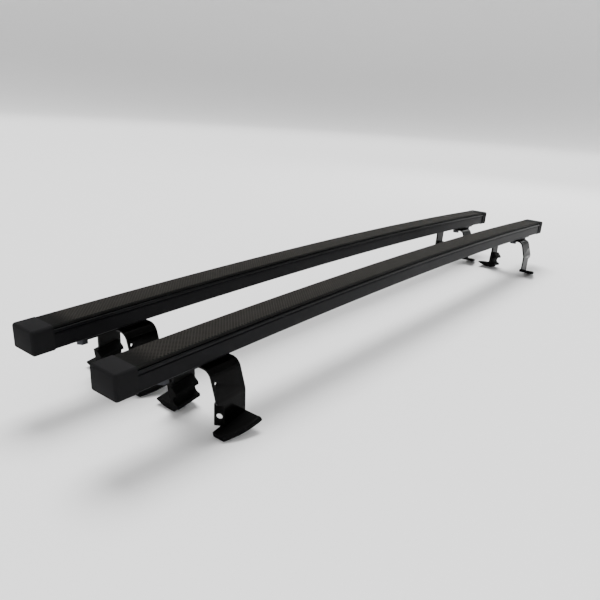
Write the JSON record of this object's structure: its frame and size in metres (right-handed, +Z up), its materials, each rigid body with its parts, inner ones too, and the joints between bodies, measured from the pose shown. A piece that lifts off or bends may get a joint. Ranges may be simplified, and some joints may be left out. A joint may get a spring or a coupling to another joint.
{
  "type": "roof rack",
  "caption": "Pair of arched roof bars with rubber top strips, each on tall clamp legs with rubber pads and short brackets with rubber jaws.",
  "frame": {"origin": "on the ground plane under the middle of the pair of bars", "axes": "+X along the bars, +Y from the front bar to the rear bar, +Z up"},
  "size_m": [1.2998, 0.2875, 0.1235],
  "materials": {
    "bar_paint": "satin black powder coat",
    "strip_rubber": "matte, fine crosshatch",
    "cap_plastic": "fine grain",
    "leg_paint": "glossy black",
    "pad_rubber": "matte",
    "bracket_paint": "satin black",
    "jaw_rubber": "matte",
    "bolt_steel": "black zinc plating",
    "plate_steel": "zinc plated steel"
  },
  "bodies": {
    "root": {"front_bar_tube": "bar_paint", "front_top_strip": "strip_rubber", "front_left_cap": "cap_plastic", "front_right_cap": "cap_plastic", "front_left_leg": "leg_paint", "front_right_leg": "leg_paint", "front_left_pad": "pad_rubber", "front_right_pad": "pad_rubber", "front_left_bracket": "bracket_paint", "front_right_bracket": "bracket_paint", "front_left_jaw": "jaw_rubber", "front_right_jaw": "jaw_rubber", "front_bolts": "bolt_steel", "front_washers": "bolt_steel", "front_spring_washers": "bolt_steel", "front_nut_plates": "plate_steel", "rear_bar_tube": "bar_paint", "rear_top_strip": "strip_rubber", "rear_left_cap": "cap_plastic", "rear_right_cap": "cap_plastic", "rear_left_leg": "leg_paint", "rear_right_leg": "leg_paint", "rear_left_pad": "pad_rubber", "rear_right_pad": "pad_rubber", "rear_left_bracket": "bracket_paint", "rear_right_bracket": "bracket_paint", "rear_left_jaw": "jaw_rubber", "rear_right_jaw": "jaw_rubber", "rear_bolts": "bolt_steel", "rear_washers": "bolt_steel", "rear_spring_washers": "bolt_steel", "rear_nut_plates": "plate_steel"}
  },
  "joints": []
}
